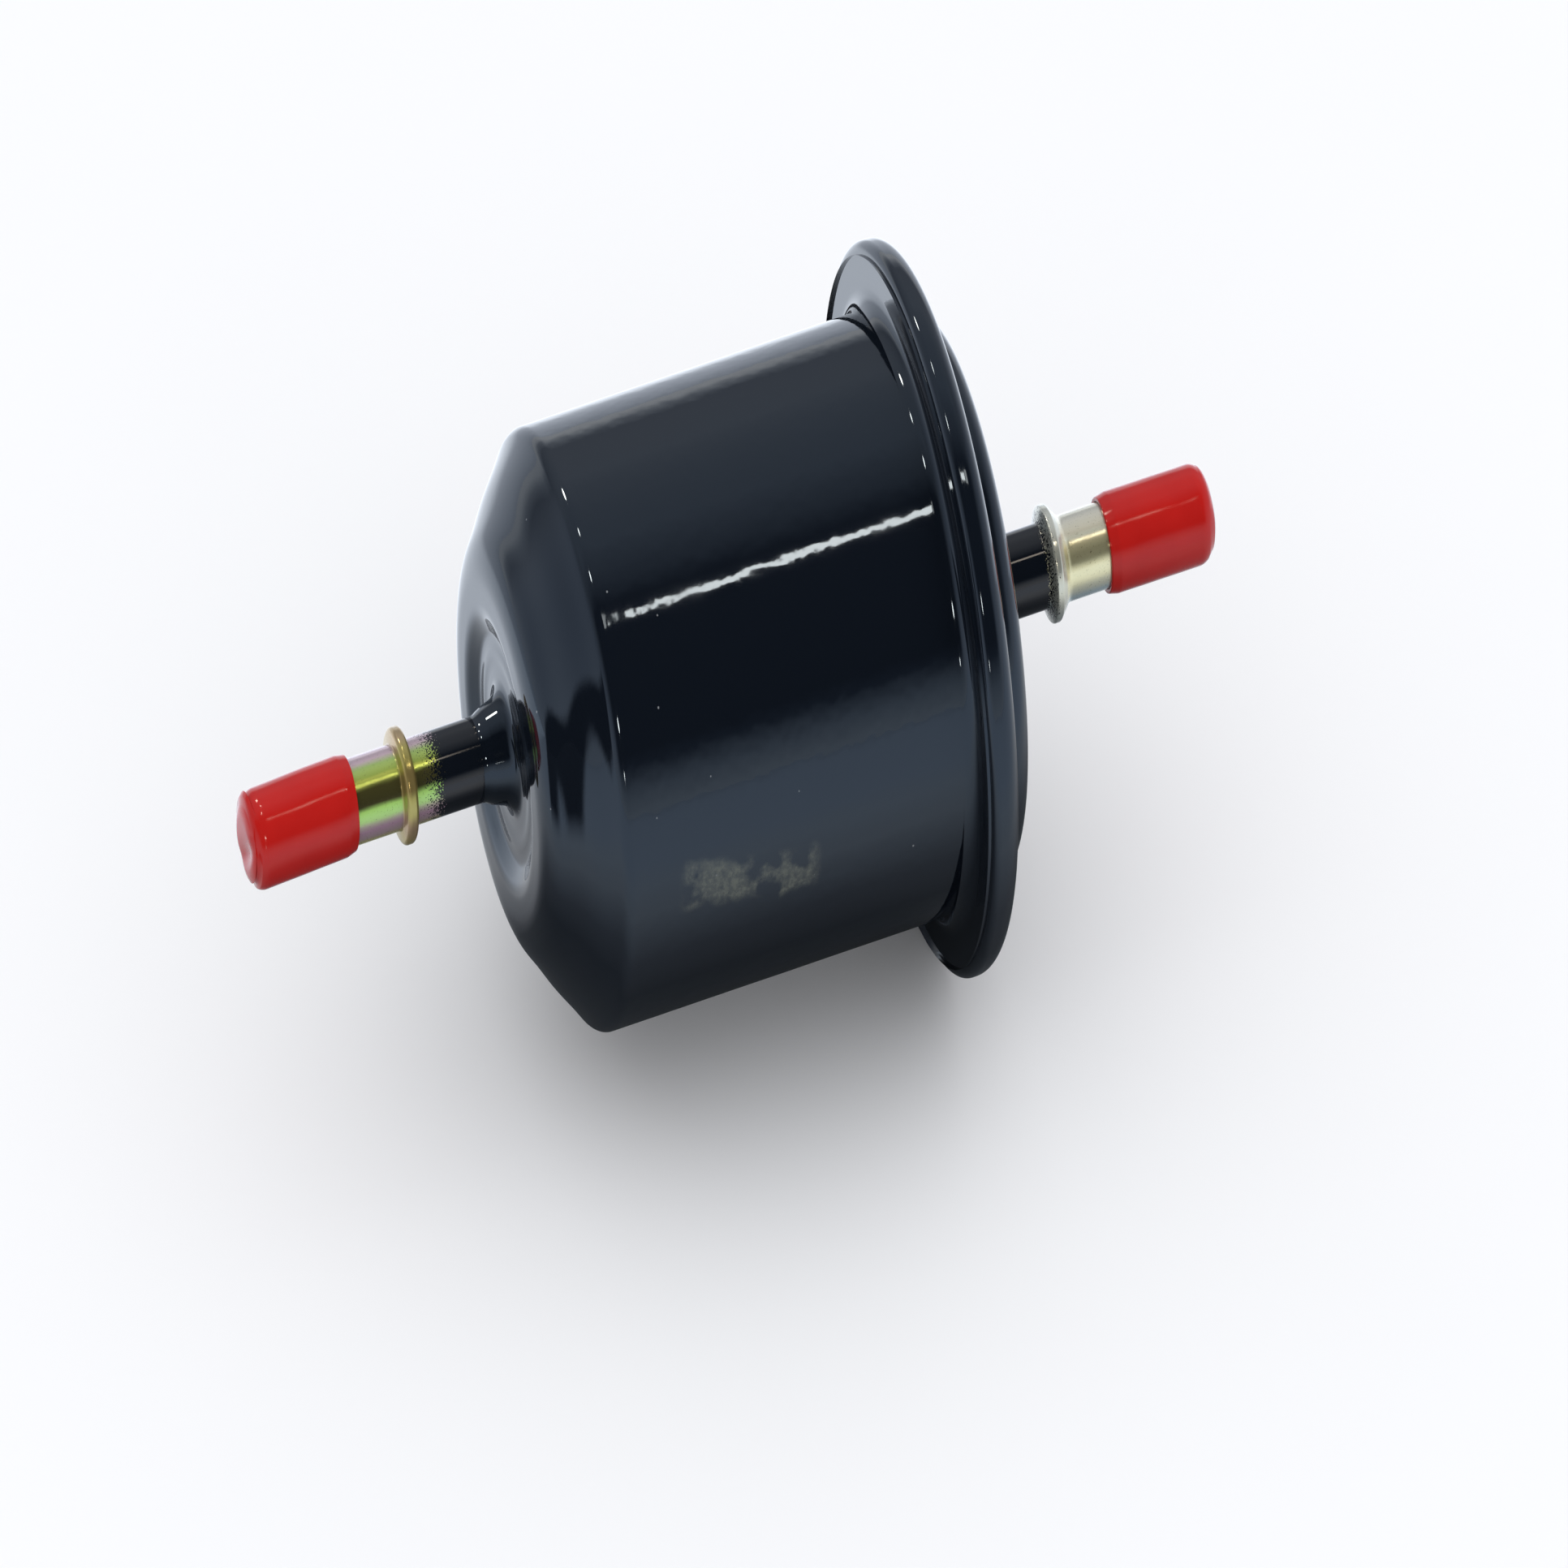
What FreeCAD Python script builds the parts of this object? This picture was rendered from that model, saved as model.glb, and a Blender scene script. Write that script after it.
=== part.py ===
"""In-line fuel filter: a drawn steel can closed by a crimped cover, with a beaded pipe at each end.

Millimetres. The filter's axis is X. The inlet is at -X, the outlet and the crimped rim are at +X.
The origin is on the axis, at the middle of the can's straight wall, where a clamp band holds it.
"""
import FreeCAD, Part
import math
import os

V = FreeCAD.Vector
ORIGIN = V(0, 0, 0)
X_AXIS = V(1, 0, 0)

# ---------------------------------------------------------------- driving dimensions
# can
body_radius = 33.15
straight_length = 55.8
can_sheet = 1.3
shoulder_length = 10.45  # along the axis, between the corners of the conical shoulder
shoulder_bend = 2.6
crest_width = 6.07  # flat ring round the dish, between its corners
crest_bend = 8.0
crest_inner_bend = 4.0
dish_radius = 12.7
dish_depth = 1.4
dish_draft = 2.6  # how much the dish widens towards the crest
dish_bend = 1.5
flange_bend = 2.45
rim_width = 7.25  # how far the rim stands out from the wall
hem_lap = 4.2  # how far the folded edge reaches in behind the cover's flange
hem_front_bend = 1.4
hem_back_bend = 2.9

# cover
cover_sheet = 1.5
edge_clearance = 0.1  # cover's edge to the bend of the hem
plateau_inset = 2.15  # how far the plateau lies in from the can's wall
plateau_height = 4.95  # above the back of the rim
plateau_bend = 3.4
plateau_draft = 1.2  # how much the plateau's wall widens towards the rim
plateau_foot_bend = 1.5
sealant_thickness = 0.9
sealant_width = 3.8
sealant_gap = 0.5  # sealing compound to the inside of the hem

# pipes
pipe_radius = 4.75
pipe_wall = 1.0
braze_gap = 0.05
collar_height = 3.6
collar_bend = 2.2
bevel_depth = 0.7
bevel_length = 1.3
braze_height = 1.8
braze_sag = 0.32  # how far the fillet's middle lies towards the pipe, as a share of its width
braze_toe = 0.25  # thickness the fillet keeps where it ends on the pipe
braze_arcs = 4  # equal arcs the hollow of the fillet is drawn with
inlet_reach = 41.4  # crest of the can to the pipe's tip
outlet_reach = 38.9  # plateau of the cover to the pipe's tip
inlet_inner_reach = 1.6  # how far the inlet pipe stands inside the can
spigot_reach = 5.2  # how far the outlet pipe stands inside the cover
tip_chamfer = 0.6
tip_chamfer_length = 1.2
tip_bend = 0.5
bead_height = 1.75
bead_to_tip_inlet = 24.8
bead_to_tip_outlet = 25.0
# bead corners: (place from the bead's middle, share of the bead's height, bend)
even_bead = [(-1.15, 0, 0.25), (-0.85, 1, 0.7), (0.85, 1, 0.7), (1.15, 0, 0.25)]
flared_bead = [(-1.3, 0, 0.4), (-0.6, 1, 0.45), (0.4, 1, 0.5), (2.2, 0, 1.2)]

# dust caps
cap_bore_clearance = 0.05
cap_wall = 0.8
cap_end_wall = 1.3
cap_end_bend = 1.7
cap_inside_bend = 0.8
cap_mouth_wall = 0.5
cap_mouth_taper = 1.6  # length over which the wall thins to the mouth
cap_taper_bend = 2.0
cap_mouth_bend = 0.15
cap_grip = 16.0  # length of pipe inside the cap
cap_end_gap = 0.9  # pipe's tip to the inside of the cap's end

# filter element
flow_gap = 4.35  # paper's outside to the inside of the can
paper_inner_radius = 13.2
paper_thickness = 0.5
pleats = 36
plate_sheet = 0.5
plate_rim_height = 4.0
plate_bend = 0.5
plate_setback = 0.58  # closed end plate to the end of the can's straight wall
plate_clearance = 0.6  # paper's outside to the plate's rim
potting_thickness = 1.5
core_radius = 11.5
core_sheet = 0.5
core_hole_radius = 1.9
core_hole_rows = 8
core_holes_per_row = 8
boss_radius = 8.8
boss_height = 1.4
boss_draft = 0.8
clip_sheet = 0.4
clip_depth = 6.0
clip_clearance = 0.05
tab_count = 6
tab_width = 8.0
tab_wall_clearance = 0.4

# seal, spring and baffle
grommet_running_clearance = 0.05
grommet_flange_radius = 10.2
grommet_seat_radius = 8.0
grommet_front = 2.0
grommet_back = 1.8
grommet_bend = 0.8
grommet_lip_bend = 0.3
seat_clearance = 0.1  # grommet's face to the inside of the cover
element_travel = 1.2  # how far the element can be pushed back against its spring
spring_wire = 1.6
spring_radius = 11.0
spring_turns = 2.5
baffle_sheet = 0.8
baffle_radius = 9.0
baffle_flange_radius = 13.0
baffle_foot_bend = 0.9
baffle_top_bend = 1.6
baffle_clearance = 0.7  # hat's top to the closed end plate when the element is pushed back
baffle_windows = 6
window_width = 5.0
window_foot = 1.2  # baffle's flange to its windows
window_head = 2.0  # baffle's windows to its top

# ---------------------------------------------------------------- stations along the axis
half_straight = straight_length / 2
crest_inner_radius = dish_radius + dish_draft
crest_outer_radius = crest_inner_radius + crest_width
shoulder_angle = math.atan2(body_radius - crest_outer_radius, shoulder_length)
shoulder_start = -half_straight - shoulder_bend * math.tan(shoulder_angle / 2)
crest = shoulder_start - shoulder_length
dish_floor = crest + dish_depth
dish_inside = dish_floor + can_sheet
can_collar_end = dish_floor - collar_height

flange_front = half_straight + flange_bend
flange_back = flange_front + can_sheet
cover_flange_front = flange_back + sealant_thickness
cover_flange_back = cover_flange_front + cover_sheet
rim_back = cover_flange_back + can_sheet
rim_radius = body_radius + rim_width
cover_edge_radius = rim_radius - hem_back_bend - edge_clearance
sealant_radius = rim_radius - can_sheet - sealant_gap
plateau = rim_back + plateau_height
plateau_inside = plateau - cover_sheet
plateau_radius = body_radius - plateau_inset
cover_collar_end = plateau + collar_height

collar_bore = pipe_radius + braze_gap
can_collar_radius = collar_bore + can_sheet
cover_collar_radius = collar_bore + cover_sheet
pipe_bore = pipe_radius - pipe_wall
bead_radius = pipe_radius + bead_height
inlet_tip = crest - inlet_reach
outlet_tip = plateau + outlet_reach

paper_outer_radius = body_radius - can_sheet - flow_gap
plate_radius = paper_outer_radius + plate_clearance + plate_sheet
grommet_face = plateau_inside - seat_clearance
open_plate = grommet_face - grommet_front
open_paper_end = open_plate - plate_sheet - potting_thickness
baffle_seat = dish_inside + baffle_sheet
closed_plate = -half_straight + plate_setback
spring_room = closed_plate - baffle_seat
baffle_height = spring_room - boss_height - element_travel - baffle_clearance
closed_paper_end = closed_plate + plate_sheet + potting_thickness
core_potting_radius = core_radius - core_sheet


# ---------------------------------------------------------------- outlines and revolved shapes
# An outline is a list of corners (x, r, bend): place along the axis, distance from it, bend radius.
def point(x, r):
    """A place in the half plane that is turned about the axis."""
    return V(x, 0, r)


def bend_points(before, here, after, radius):
    """Start, middle and end of the arc that rounds the corner at here."""
    back = (before - here).normalize()
    ahead = (after - here).normalize()
    half_angle = back.getAngle(ahead) / 2
    middle_line = (back + ahead).normalize()
    trim = radius / math.tan(half_angle)
    centre = here + middle_line * (radius / math.sin(half_angle))
    return here + back * trim, centre - middle_line * radius, here + ahead * trim


def outline_edges(corners):
    """Straight runs joined by tangent arcs, from the first corner to the last."""
    places = [point(x, r) for x, r, _ in corners]
    edges = []
    reached = places[0]
    for i in range(1, len(corners) - 1):
        bend = corners[i][2]
        if bend < 0.02:
            start, end = places[i], places[i]
        else:
            start, middle, end = bend_points(places[i - 1], places[i], places[i + 1], bend)
        if reached.distanceToPoint(start) > 1e-6:
            edges.append(Part.makeLine(reached, start))
        if bend >= 0.02:
            edges.append(Part.Arc(start, middle, end).toShape())
        reached = end
    edges.append(Part.makeLine(reached, places[-1]))
    return edges


def offset_outline(corners, distance):
    """The same outline moved sideways: left of its direction for a positive distance."""
    places = [point(x, r) for x, r, _ in corners]
    runs = [(b - a).normalize() for a, b in zip(places, places[1:])]
    lefts = [V(-run.z, 0, run.x) for run in runs]
    moved = []
    for i, (x, r, bend) in enumerate(corners):
        first = lefts[max(i - 1, 0)]
        second = lefts[min(i, len(lefts) - 1)]
        shift = (first + second) * (distance / (1 + first.dot(second)))
        if 0 < i < len(corners) - 1:
            turns_left = runs[i - 1].z * runs[i].x - runs[i - 1].x * runs[i].z < 0
            bend = bend - distance if turns_left else bend + distance
        moved.append((x + shift.x, r + shift.z, bend))
    return moved


def turned(corners):
    """A solid from a closed outline, whose last corner repeats the first."""
    return turned_edges(outline_edges(corners))


def turned_edges(edges):
    wire = Part.Wire(Part.__sortEdges__(edges))
    return Part.Face(wire).revolve(ORIGIN, X_AXIS, 360)


def pressed_sheet(corners, thickness, side):
    """Sheet metal turned about the axis: side is +1 to lay the thickness left of the outline."""
    inner = offset_outline(corners, side * thickness)
    edges = outline_edges(corners) + outline_edges(inner)
    for i in (0, -1):
        edges.append(Part.makeLine(point(*corners[i][:2]), point(*inner[i][:2])))
    return turned_edges(edges)


def ring(x0, x1, inner, outer):
    """A plain ring between two stations."""
    corners = [(x0, inner, 0), (x1, inner, 0), (x1, outer, 0), (x0, outer, 0), (x0, inner, 0)]
    return turned(corners)


def around_axis(shape, count, start_angle=0.0):
    """Copies of a shape at even angles about the axis."""
    copies = []
    for i in range(count):
        copy = shape.copy()
        copy.rotate(ORIGIN, X_AXIS, start_angle + 360.0 * i / count)
        copies.append(copy)
    return copies


# ---------------------------------------------------------------- casing
def collar_bevel(end, radius):
    """What is cut from a collar's outer edge. The braze starts from the bevel."""
    foot = end - math.copysign(bevel_length, end)
    corners = [(end, radius - bevel_depth), (foot, radius), (end, radius), (end, radius - bevel_depth)]
    return turned([(x, r, 0) for x, r in corners])


def can():
    """Deep-drawn can: its flange is folded round the edge of the cover to make the rim."""
    corners = [
        (can_collar_end, can_collar_radius, 0),
        (dish_floor, can_collar_radius, collar_bend),
        (dish_floor, dish_radius, dish_bend),
        (crest, crest_inner_radius, crest_inner_bend),
        (crest, crest_outer_radius, crest_bend),
        (shoulder_start, body_radius, shoulder_bend),
        (flange_front, body_radius, flange_bend),
        (flange_front, rim_radius, hem_front_bend),
        (rim_back, rim_radius, hem_back_bend),
        (rim_back, rim_radius - hem_lap, 0),
    ]
    bevel = collar_bevel(can_collar_end, can_collar_radius)
    return pressed_sheet(corners, can_sheet, -1).cut(bevel)


def cover():
    """Pressed cover: pipe collar, raised plateau, and a flange held in the can's folded rim."""
    corners = [
        (cover_collar_end, cover_collar_radius, 0),
        (plateau, cover_collar_radius, collar_bend),
        (plateau, plateau_radius, plateau_bend),
        (cover_flange_back, plateau_radius + plateau_draft, plateau_foot_bend),
        (cover_flange_back, cover_edge_radius, 0),
    ]
    bevel = collar_bevel(cover_collar_end, cover_collar_radius)
    return pressed_sheet(corners, cover_sheet, 1).cut(bevel)


def seam_sealant():
    """Sealing compound squeezed between the can's flange and the cover's."""
    inner = sealant_radius - sealant_width
    return ring(flange_front, cover_flange_front, inner, sealant_radius).cut([can(), cover()])


# ---------------------------------------------------------------- pipes
def pipe(inner_end, tip, bead_to_tip, bead):
    """Steel pipe with a bead and a chamfered tip."""
    outward = math.copysign(1, tip)
    bead_middle = tip - outward * bead_to_tip
    corners = [(inner_end, pipe_bore, 0), (inner_end, pipe_radius, 0)]
    for place, share, bend in bead:
        radius = pipe_radius + share * (bead_radius - pipe_radius)
        corners.append((bead_middle + outward * place, radius, bend))
    corners += [
        (tip - outward * tip_chamfer_length, pipe_radius, tip_bend),
        (tip, pipe_radius - tip_chamfer, 0),
        (tip, pipe_bore, 0),
        (inner_end, pipe_bore, 0),
    ]
    return turned(corners)


def inlet_pipe():
    return pipe(dish_inside + inlet_inner_reach, inlet_tip, bead_to_tip_inlet, even_bead)


def outlet_pipe():
    return pipe(plateau_inside - spigot_reach, outlet_tip, bead_to_tip_outlet, flared_bead)


def braze_ring(collar_end, collar_radius):
    """Fillet of braze that runs from the collar's end down to the pipe."""
    foot = collar_end + math.copysign(braze_height, collar_end)
    width = collar_radius - bevel_depth - pipe_radius
    corner = point(collar_end, pipe_radius)
    top = point(collar_end, pipe_radius + width)
    toe = point(foot, pipe_radius + braze_toe)
    end = point(foot, pipe_radius)
    sag = braze_toe + (width - braze_toe) * braze_sag
    middle = point(collar_end + (foot - collar_end) * braze_sag, pipe_radius + sag)
    hollow = Part.Arc(top, middle, toe)
    share = (hollow.LastParameter - hollow.FirstParameter) / (2 * braze_arcs)
    places = [hollow.value(hollow.FirstParameter + share * i) for i in range(2 * braze_arcs + 1)]
    edges = [Part.makeLine(corner, top), Part.makeLine(toe, end), Part.makeLine(end, corner)]
    for i in range(0, 2 * braze_arcs, 2):
        edges.append(Part.Arc(places[i], places[i + 1], places[i + 2]).toShape())
    return turned_edges(edges)


# ---------------------------------------------------------------- dust caps
def dust_cap(tip):
    """Soft push-on cap with a rounded closed end and a wall that thins to its mouth."""
    outward = math.copysign(1, tip)
    bore = pipe_radius + cap_bore_clearance
    outer = bore + cap_wall
    mouth = tip - outward * cap_grip
    inside_end = tip + outward * cap_end_gap
    end = inside_end + outward * cap_end_wall
    corners = [
        (inside_end, 0, 0),
        (inside_end, bore, cap_inside_bend),
        (mouth, bore, cap_mouth_bend),
        (mouth, bore + cap_mouth_wall, cap_mouth_bend),
        (mouth + outward * cap_mouth_taper, outer, cap_taper_bend),
        (end, outer, cap_end_bend),
        (end, 0, 0),
        (inside_end, 0, 0),
    ]
    return turned(corners)


# ---------------------------------------------------------------- filter element
def leaf_line(leaf, radius):
    """Where one paper leaf crosses a radius, as seen along the axis."""
    angle = 2 * math.pi * (leaf + 0.5) / (2 * pleats)
    return V(0, radius * math.cos(angle), radius * math.sin(angle))


def pleated_paper():
    """Pleated band: radial leaves joined by folds, open at one seam where the clip holds it."""
    middle_line = []
    for leaf in range(2 * pleats):
        ends = [leaf_line(leaf, paper_outer_radius), leaf_line(leaf, paper_inner_radius)]
        middle_line += ends if leaf % 2 == 0 else ends[::-1]
    sides = [side_of_line(middle_line, side * paper_thickness / 2) for side in (1, -1)]
    section = Part.Face(Part.makePolygon(sides[0] + sides[1][::-1] + sides[0][:1]))
    section.translate(V(closed_paper_end, 0, 0))
    return section.extrude(V(open_paper_end - closed_paper_end, 0, 0))


def side_of_line(places, distance):
    """A bent line moved sideways in the plane across the axis."""
    runs = [(b - a).normalize() for a, b in zip(places, places[1:])]
    lefts = [V(0, -run.z, run.y) for run in runs]
    moved = []
    for i, place in enumerate(places):
        first = lefts[max(i - 1, 0)]
        second = lefts[min(i, len(lefts) - 1)]
        moved.append(place + (first + second) * (distance / (1 + first.dot(second))))
    return moved


def pleat_seam_clip():
    """Folded steel strip that grips the two end leaves of the paper."""
    outer = paper_outer_radius + clip_clearance + clip_sheet
    foot = paper_outer_radius - clip_depth
    half_inside = leaf_line(0, paper_outer_radius).z + paper_thickness / 2 + clip_clearance
    half_outside = half_inside + clip_sheet
    length = open_paper_end - closed_paper_end
    depth = outer - foot
    strip = Part.makeBox(length, depth, 2 * half_outside, V(closed_paper_end, foot, -half_outside))
    corner = V(closed_paper_end, foot - clip_sheet, -half_inside)
    slot = Part.makeBox(length, depth, 2 * half_inside, corner)
    return strip.cut(slot)


def centre_tube():
    """Perforated steel tube that holds the paper out against the flow."""
    tube = ring(closed_paper_end, open_paper_end, core_potting_radius, core_radius)
    length = open_paper_end - closed_paper_end
    drills = []
    for row in range(core_hole_rows):
        x = closed_paper_end + length * (row + 0.5) / core_hole_rows
        drill = Part.makeCylinder(core_hole_radius, core_radius + 1, V(x, 0, 0), V(0, 0, 1))
        stagger = 180.0 / core_holes_per_row * (row % 2)
        drills += around_axis(drill, core_holes_per_row, stagger)
    return tube.cut(drills)


def closed_end_plate():
    """End plate with a raised boss that centres the spring."""
    corners = [
        (closed_plate - boss_height, 0, 0),
        (closed_plate - boss_height, boss_radius, plate_bend),
        (closed_plate, boss_radius + boss_draft, plate_bend),
        (closed_plate, plate_radius, plate_bend),
        (closed_plate + plate_rim_height, plate_radius, 0),
    ]
    return pressed_sheet(corners, plate_sheet, -1)


def open_end_plate():
    """End plate with a hole for the grommet."""
    corners = [
        (open_plate, grommet_seat_radius, 0),
        (open_plate, plate_radius, plate_bend),
        (open_plate - plate_rim_height, plate_radius, 0),
    ]
    return pressed_sheet(corners, plate_sheet, 1)


def potting(paper_end, plate_face):
    """Ring of adhesive that bonds the paper and the centre tube to a plate."""
    outer = plate_radius - plate_sheet
    return ring(min(paper_end, plate_face), max(paper_end, plate_face), core_potting_radius, outer)


def centring_ring():
    """Band round the closed end plate, with tabs that keep the element central in the can."""
    band_outer = plate_radius + plate_sheet
    band_start = closed_plate + plate_bend
    band_end = closed_plate + plate_rim_height
    tab_reach = body_radius - can_sheet - tab_wall_clearance
    band = ring(band_start, band_end, plate_radius, band_outer)
    lobe = ring(band_end - plate_sheet, band_end, plate_radius, tab_reach)
    sector = Part.makeBox(plate_sheet, tab_width, tab_reach, V(band_end - plate_sheet, -tab_width / 2, 0))
    tabs = [lobe.common(place) for place in around_axis(sector, tab_count)]
    return band.fuse(tabs).removeSplitter()


# ---------------------------------------------------------------- seal, spring and baffle
def outlet_grommet():
    """Rubber grommet: grips the open plate's hole and seals on the outlet pipe."""
    bore = pipe_radius + grommet_running_clearance
    back_face = open_plate - plate_sheet - grommet_back
    corners = [
        (grommet_face, bore, 0),
        (grommet_face, grommet_flange_radius, grommet_bend),
        (open_plate, grommet_flange_radius, grommet_lip_bend),
        (open_plate, grommet_seat_radius, 0),
        (open_plate - plate_sheet, grommet_seat_radius, 0),
        (open_plate - plate_sheet, grommet_flange_radius, grommet_lip_bend),
        (back_face, grommet_flange_radius - grommet_bend, grommet_bend),
        (back_face, bore, 0),
        (grommet_face, bore, 0),
    ]
    return turned(corners)


def element_spring():
    """Coil spring that presses the element against the cover."""
    rise = spring_room - spring_wire
    helix = Part.makeHelix(rise / spring_turns, rise, spring_radius)
    wire_section = Part.makeCircle(spring_wire / 2, V(spring_radius, 0, 0), V(0, 1, 0))
    coil = Part.Wire(helix).makePipeShell([Part.Wire(wire_section)], True, True)
    coil.rotate(ORIGIN, V(0, 1, 0), 90)
    coil.translate(V(baffle_seat + spring_wire / 2, 0, 0))
    return coil


def inlet_baffle():
    """Top-hat pressing that turns the incoming fuel sideways and seats the spring."""
    top = baffle_seat + baffle_height
    corners = [
        (baffle_seat, baffle_flange_radius, 0),
        (baffle_seat, baffle_radius, baffle_foot_bend),
        (top, baffle_radius, baffle_top_bend),
        (top, 0, 0),
    ]
    hat = pressed_sheet(corners, baffle_sheet, -1)
    window = Part.makeBox(
        baffle_height - window_foot - window_head,
        window_width,
        baffle_radius,
        V(baffle_seat + window_foot, -window_width / 2, baffle_radius / 2),
    )
    return hat.cut(around_axis(window, baffle_windows))


# ---------------------------------------------------------------- files
def nodes():
    """Every piece of the filter, by the name of its file."""
    return {
        "can": can(),
        "cover": cover(),
        "seam_sealant": seam_sealant(),
        "inlet_pipe": inlet_pipe(),
        "outlet_pipe": outlet_pipe(),
        "inlet_braze_ring": braze_ring(can_collar_end, can_collar_radius),
        "outlet_braze_ring": braze_ring(cover_collar_end, cover_collar_radius),
        "inlet_dust_cap": dust_cap(inlet_tip),
        "outlet_dust_cap": dust_cap(outlet_tip),
        "pleated_paper": pleated_paper(),
        "pleat_seam_clip": pleat_seam_clip(),
        "centre_tube": centre_tube(),
        "closed_end_plate": closed_end_plate(),
        "open_end_plate": open_end_plate(),
        "closed_end_potting": potting(closed_paper_end, closed_plate + plate_sheet),
        "open_end_potting": potting(open_paper_end, open_plate - plate_sheet),
        "outlet_grommet": outlet_grommet(),
        "element_spring": element_spring(),
        "inlet_baffle": inlet_baffle(),
        "centring_ring": centring_ring(),
    }


def main():
    os.makedirs("parts", exist_ok=True)
    for name, shape in nodes().items():
        shape.exportStep(f"parts/{name}.step")
        box = shape.BoundBox
        print(
            f"{name:20s} solids {len(shape.Solids)} valid {shape.isValid()}"
            f" volume {shape.Volume:9.1f}  x {box.XMin:7.2f} {box.XMax:7.2f}  r {box.ZMax:6.2f}"
        )


main()
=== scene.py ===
import math

import bmesh
import bpy
from mathutils import Matrix, Vector, noise


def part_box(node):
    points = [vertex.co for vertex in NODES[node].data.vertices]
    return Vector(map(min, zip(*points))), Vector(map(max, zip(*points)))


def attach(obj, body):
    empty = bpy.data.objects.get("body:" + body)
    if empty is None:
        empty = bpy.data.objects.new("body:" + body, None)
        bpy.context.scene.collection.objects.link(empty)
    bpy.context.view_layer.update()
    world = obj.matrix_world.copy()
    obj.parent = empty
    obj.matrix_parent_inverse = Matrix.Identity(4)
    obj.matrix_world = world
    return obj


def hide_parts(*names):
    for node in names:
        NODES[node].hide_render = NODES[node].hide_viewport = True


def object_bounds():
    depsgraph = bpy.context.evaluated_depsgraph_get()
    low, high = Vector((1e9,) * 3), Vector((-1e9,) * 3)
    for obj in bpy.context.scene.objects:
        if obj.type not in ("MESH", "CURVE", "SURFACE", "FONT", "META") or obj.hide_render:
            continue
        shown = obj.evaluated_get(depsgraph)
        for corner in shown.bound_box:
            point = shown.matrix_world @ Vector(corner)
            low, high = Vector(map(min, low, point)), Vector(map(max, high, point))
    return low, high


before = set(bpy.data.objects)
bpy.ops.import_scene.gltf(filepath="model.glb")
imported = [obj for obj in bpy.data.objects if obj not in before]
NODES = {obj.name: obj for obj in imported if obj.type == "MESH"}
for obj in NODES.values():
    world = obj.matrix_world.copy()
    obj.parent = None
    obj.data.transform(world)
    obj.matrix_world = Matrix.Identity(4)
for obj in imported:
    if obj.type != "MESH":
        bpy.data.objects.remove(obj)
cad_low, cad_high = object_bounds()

# The filter's axis is X. Angles about it are measured from -Y (the front) towards +Z (the top).
MM = 0.001
SEGMENTS = 320

# Sizes in millimetres that more than one piece is made from.
CREST = -39.52  # the can's foremost ring, on its closed end
BODY_RADIUS = 33.15
CAN_SHEET = 1.3
COVER_SHEET = 1.5
SEALANT = 0.9
COLLAR_HEIGHT = 3.6
BRAZE_TOP = 5.3  # radius where each collar meets its braze
PIPE_RADIUS = 4.75
PIPE_BORE = 3.75  # as a radius
BEAD_RADIUS = 6.5

# The camera's direction above the front, as an angle about the axis.
CAMERA_RISE = math.radians(40.8)
# The darkest colour of the room that the enamel mirrors.
ROOM_DARK = (0.01, 0.012, 0.016)


# ---------------------------------------------------------------- outlines
# An outline is a list of corners (x, r, bend) in millimetres, as in a turned drawing.
def arc_points(before, here, after, bend, step_degrees=5.0):
    """Points along the arc that rounds a corner."""
    back = (before - here).normalized()
    ahead = (after - here).normalized()
    turn = math.pi - back.angle(ahead)
    trim = bend * math.tan(turn / 2)
    middle_line = (back + ahead).normalized()
    centre = here + middle_line * (bend / math.cos(turn / 2))
    start, end = here + back * trim - centre, here + ahead * trim - centre
    count = max(3, round(math.degrees(turn) / step_degrees))
    sweep = start.angle_signed(end)
    return [centre + Matrix.Rotation(-sweep * i / count, 2) @ start for i in range(count + 1)]


def rounded(corners, run_step=1.6):
    """The outline as closely spaced points, with its bends rounded and its runs divided."""
    places = [Vector((x, r)) for x, r, _ in corners]
    bent = [places[0]]
    for i in range(1, len(corners) - 1):
        bend = corners[i][2]
        if bend > 0.01:
            bent += arc_points(places[i - 1], places[i], places[i + 1], bend)
        else:
            bent.append(places[i])
    bent.append(places[-1])
    points = [bent[0]]
    for start, end in zip(bent, bent[1:]):
        count = max(1, math.ceil((end - start).length / run_step))
        points += [start.lerp(end, k / count) for k in range(1, count + 1)]
    return points


def offset(corners, distance):
    """The outline moved sideways: left of its direction for a positive distance."""
    places = [Vector((x, r)) for x, r, _ in corners]
    runs = [(b - a).normalized() for a, b in zip(places, places[1:])]
    lefts = [Vector((-run.y, run.x)) for run in runs]
    moved = []
    for i, (x, r, bend) in enumerate(corners):
        first, second = lefts[max(i - 1, 0)], lefts[min(i, len(lefts) - 1)]
        shift = (first + second) * (distance / (1 + first.dot(second)))
        if 0 < i < len(corners) - 1:
            turns_left = first.dot(runs[i]) < 0
            bend = max(0.0, bend - distance if turns_left else bend + distance)
        moved.append((x + shift.x, r + shift.y, bend))
    return moved


# ---------------------------------------------------------------- meshes
def around(x, r, angle):
    """A place in metres from millimetres along the axis, radius and angle about it."""
    return Vector((x, -r * math.cos(angle), r * math.sin(angle))) * MM


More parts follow.
